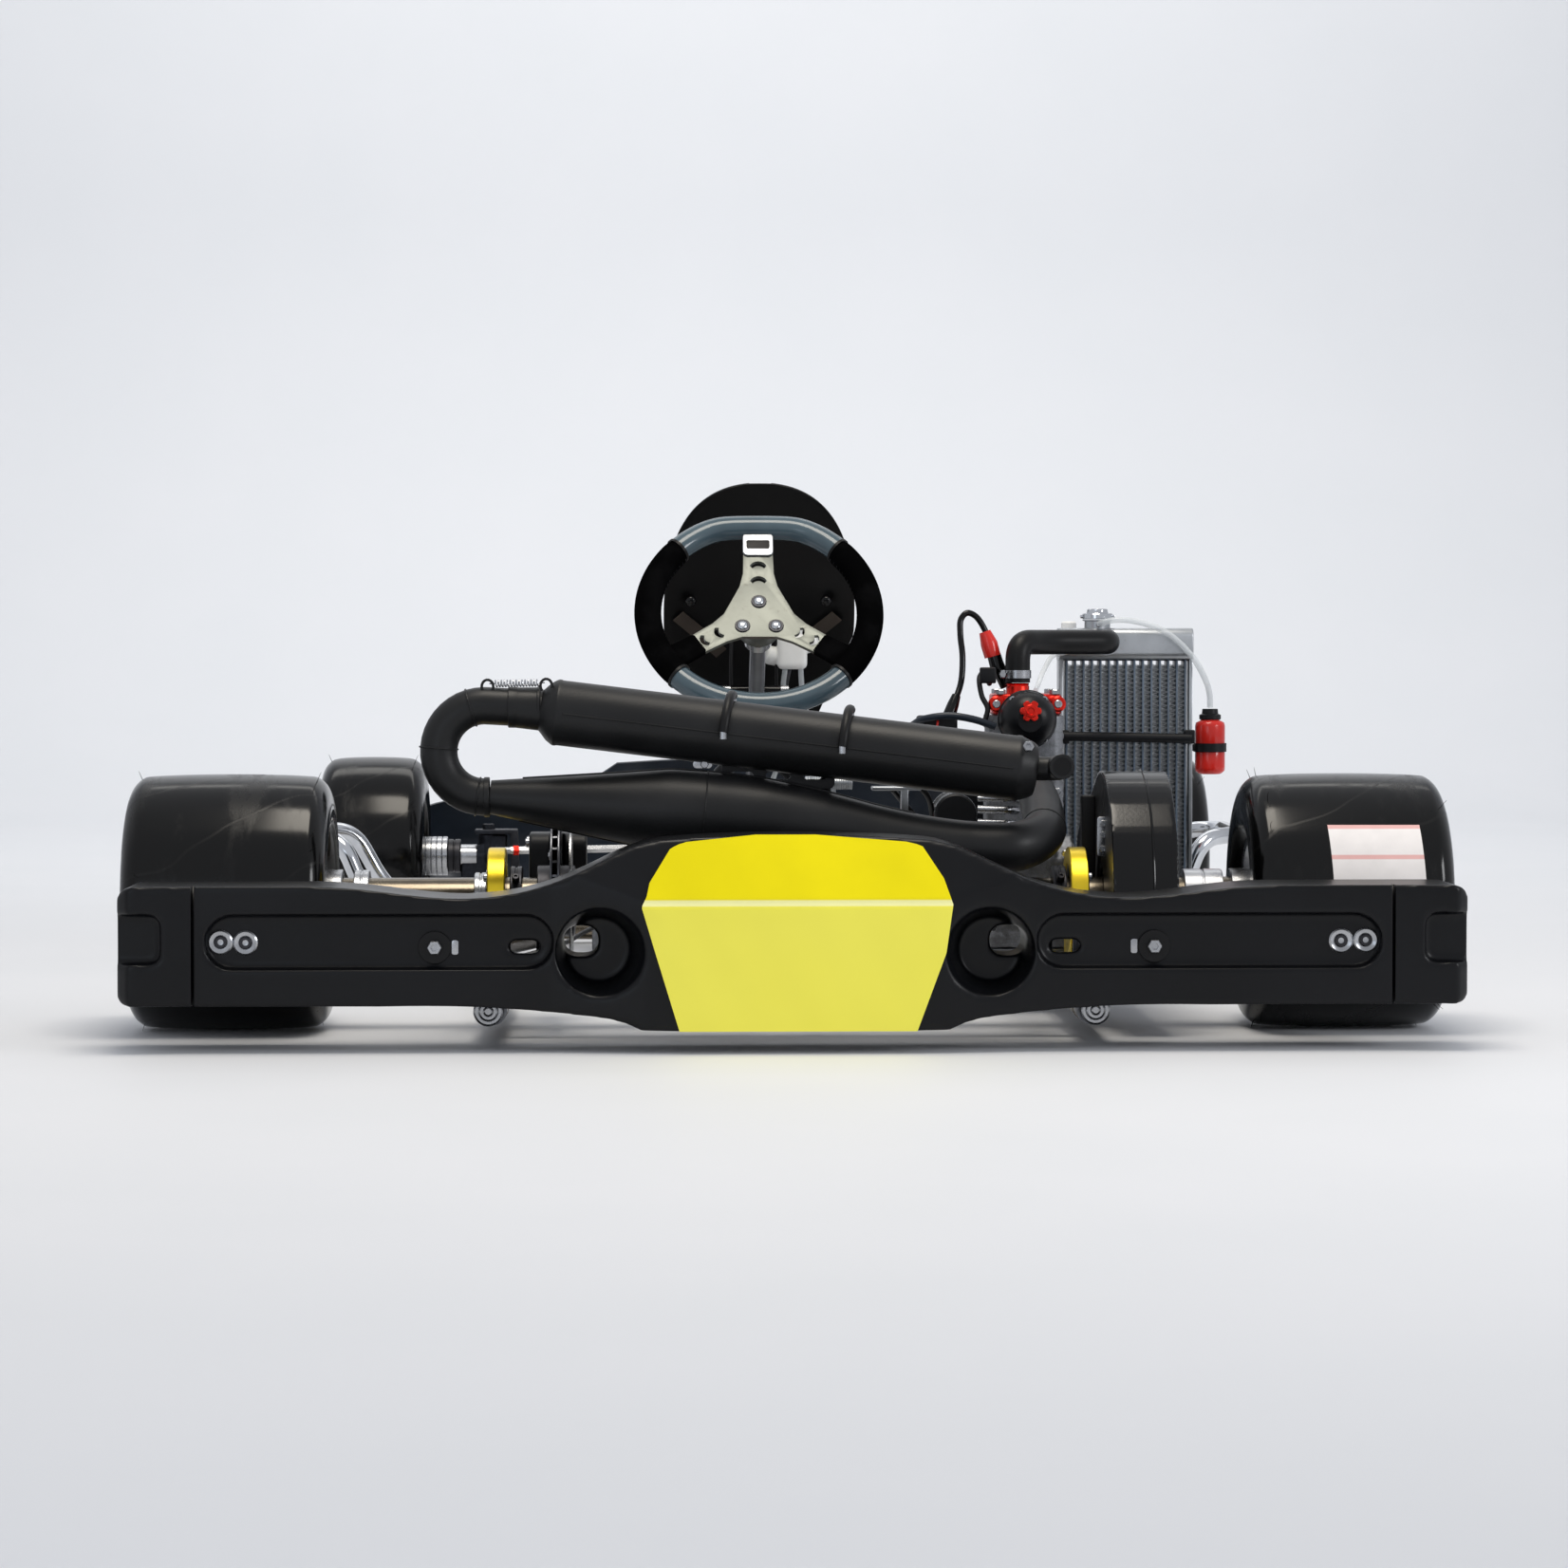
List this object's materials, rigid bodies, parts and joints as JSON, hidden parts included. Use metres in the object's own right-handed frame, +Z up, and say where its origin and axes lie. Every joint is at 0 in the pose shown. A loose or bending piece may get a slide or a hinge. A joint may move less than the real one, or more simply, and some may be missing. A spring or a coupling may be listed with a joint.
{
  "type": "racing kart chassis",
  "caption": "Racing kart rolling chassis with water-cooled engine, exhaust, radiator, steering and rear bumper, without seat or side pods.",
  "frame": {"origin": "on the ground, midway between the back of the rear bumper and the tip of the nose, on the centre line", "axes": "+X to the driver's right, the engine side; +Y forward; +Z up"},
  "size_m": [1.4, 1.79, 0.6124],
  "materials": {
    "frame_nickel": "dark nickel plate, semi-bright",
    "chrome_tube": "bright chrome plate",
    "moulded_black": "satin black rotomoulded plastic with fine grain",
    "gloss_black": "glossy black moulding",
    "yellow_film": "yellow film, satin, slightly rippled",
    "tyre_rubber": "slick kart tyre, semi-gloss, moulding marks",
    "satin_aluminium": "satin machined",
    "cast_aluminium": "bead-blasted casting",
    "tray_aluminium": "rolled sheet",
    "steel": "ground steel",
    "nose_plastic": "blue-grey moulded plastic",
    "panel_black": "black moulded panel",
    "tank_plastic": "milky natural polyethylene",
    "exhaust_black": "satin heat-proof black over formed steel",
    "anodised_red": "red anodised",
    "anodised_yellow": "yellow anodised",
    "hose_rubber": "black rubber hose",
    "clear_hose": "clear flexible tube",
    "bottle_red": "red moulded bottle",
    "grip_suede": "black suede grips with painted grey sections"
  },
  "bodies": {
    "chassis": {"frame_rail_left": "frame_nickel", "frame_rail_right": "frame_nickel", "frame_front": "frame_nickel", "frame_cross_rear": "frame_nickel", "side_bar_left": "chrome_tube", "side_bar_right": "chrome_tube", "front_bumper": "chrome_tube", "floor_tray": "tray_aluminium", "front_fairing": "nose_plastic", "front_panel": "panel_black", "fuel_tank": "tank_plastic", "steering_support": "gloss_black", "rear_bumper": "moulded_black", "bumper_panel": "yellow_film", "bumper_mount_left": "steel", "bumper_mount_right": "steel", "bearing_carrier_left": "anodised_yellow", "bearing_carrier_right": "anodised_yellow", "brake_caliper": "cast_aluminium", "brake_master_cylinder": "cast_aluminium", "chain_guard": "gloss_black", "engine_mount": "satin_aluminium", "engine_crankcase": "cast_aluminium", "engine_cylinder": "cast_aluminium", "head_cover": "anodised_red", "power_valve_cover": "moulded_black", "carburettor": "cast_aluminium", "intake_silencer": "moulded_black", "expansion_chamber": "exhaust_black", "exhaust_elbow": "exhaust_black", "exhaust_silencer": "exhaust_black", "ignition_coil": "moulded_black", "ht_lead": "hose_rubber", "radiator": "satin_aluminium", "radiator_hose": "hose_rubber", "overflow_bottle": "bottle_red", "overflow_hose": "clear_hose"},
    "rear_axle": {"rear_axle": "steel", "rear_rim_left": "satin_aluminium", "rear_rim_right": "satin_aluminium", "rear_tyre_left": "tyre_rubber", "rear_tyre_right": "tyre_rubber", "brake_disc": "steel", "axle_sprocket": "satin_aluminium"},
    "crankshaft": {"engine_sprocket": "steel"},
    "steering": {"steering_shaft": "steel", "steering_wheel": "grip_suede"},
    "knuckle_left": {"knuckle_left": "cast_aluminium"},
    "knuckle_right": {"knuckle_right": "cast_aluminium"},
    "front_wheel_left": {"front_rim_left": "satin_aluminium", "front_tyre_left": "tyre_rubber"},
    "front_wheel_right": {"front_rim_right": "satin_aluminium", "front_tyre_right": "tyre_rubber"},
    "tie_rod_left": {"tie_rod_left": "satin_aluminium"},
    "tie_rod_right": {"tie_rod_right": "satin_aluminium"},
    "throttle_pedal": {"throttle_pedal": "satin_aluminium"},
    "brake_pedal": {"brake_pedal": "satin_aluminium"},
    "radiator_cap": {"radiator_cap": "chrome_tube"},
    "fuel_cap": {"fuel_cap": "anodised_red"},
    "power_valve_knob": {"power_valve_knob": "anodised_red"}
  },
  "joints": [
    {"name": "rear_axle_spin", "type": "hinge", "parent": "chassis", "child": "rear_axle", "pos_m": [0, -0.6, 0.136], "axis": [1, 0, 0], "continuous": true},
    {"name": "crankshaft_spin", "type": "hinge", "parent": "chassis", "child": "crankshaft", "pos_m": [0.365, -0.372, 0.14], "axis": [1, 0, 0], "continuous": true},
    {"name": "steering_turn", "type": "hinge", "parent": "chassis", "child": "steering", "pos_m": [-0.014, 0.08, 0.447], "axis": [0, 0.809, -0.5878], "range_deg": [-60, 60]},
    {"name": "knuckle_left_steer", "type": "hinge", "parent": "chassis", "child": "knuckle_left", "pos_m": [-0.36, 0.445, 0.13], "axis": [0, 0, -1], "range_deg": [-24.5, 24.5]},
    {"name": "tie_rod_left_swing", "type": "hinge", "parent": "knuckle_left", "child": "tie_rod_left", "pos_m": [-0.345, 0.36, 0.13], "axis": [0, 0, 1], "range_deg": [-24.5, 24.5]},
    {"name": "front_wheel_left_spin", "type": "hinge", "parent": "knuckle_left", "child": "front_wheel_left", "pos_m": [-0.5085, 0.445, 0.13], "axis": [1, 0, 0], "continuous": true},
    {"name": "knuckle_right_steer", "type": "hinge", "parent": "chassis", "child": "knuckle_right", "pos_m": [0.36, 0.445, 0.13], "axis": [0, 0, -1], "range_deg": [-24.5, 24.5]},
    {"name": "tie_rod_right_swing", "type": "hinge", "parent": "knuckle_right", "child": "tie_rod_right", "pos_m": [0.345, 0.36, 0.13], "axis": [0, 0, 1], "range_deg": [-24.5, 24.5]},
    {"name": "front_wheel_right_spin", "type": "hinge", "parent": "knuckle_right", "child": "front_wheel_right", "pos_m": [0.5085, 0.445, 0.13], "axis": [1, 0, 0], "continuous": true},
    {"name": "throttle_press", "type": "hinge", "parent": "chassis", "child": "throttle_pedal", "pos_m": [0.096, 0.612, 0.062], "axis": [-1, 0, 0], "range_deg": [0, 25], "stiffness_Nm_per_rad": 2, "springref_deg": -8.59},
    {"name": "brake_press", "type": "hinge", "parent": "chassis", "child": "brake_pedal", "pos_m": [-0.096, 0.612, 0.062], "axis": [-1, 0, 0], "range_deg": [0, 18], "stiffness_Nm_per_rad": 5, "springref_deg": -8.59},
    {"name": "radiator_cap_twist", "type": "hinge", "parent": "chassis", "child": "radiator_cap", "pos_m": [0.373, -0.204, 0.438], "axis": [0, 0, 1], "range_deg": [0, 90]},
    {"name": "fuel_cap_twist", "type": "hinge", "parent": "chassis", "child": "fuel_cap", "pos_m": [-0.01, 0.128, 0.18], "axis": [0, 0, 1], "range_deg": [0, 180]},
    {"name": "power_valve_knob_twist", "type": "hinge", "parent": "chassis", "child": "power_valve_knob", "pos_m": [0.274, -0.4446, 0.336], "axis": [0, -1, 0], "range_deg": [0, 270]}
  ],
  "couplings": [
    {"joint": "crankshaft_spin", "follows": "rear_axle_spin", "ratio": 6.1538},
    {"joint": "knuckle_left_steer", "follows": "steering_turn", "ratio": 0.4},
    {"joint": "tie_rod_left_swing", "follows": "steering_turn", "ratio": 0.4},
    {"joint": "knuckle_right_steer", "follows": "steering_turn", "ratio": 0.4},
    {"joint": "tie_rod_right_swing", "follows": "steering_turn", "ratio": 0.4}
  ]
}
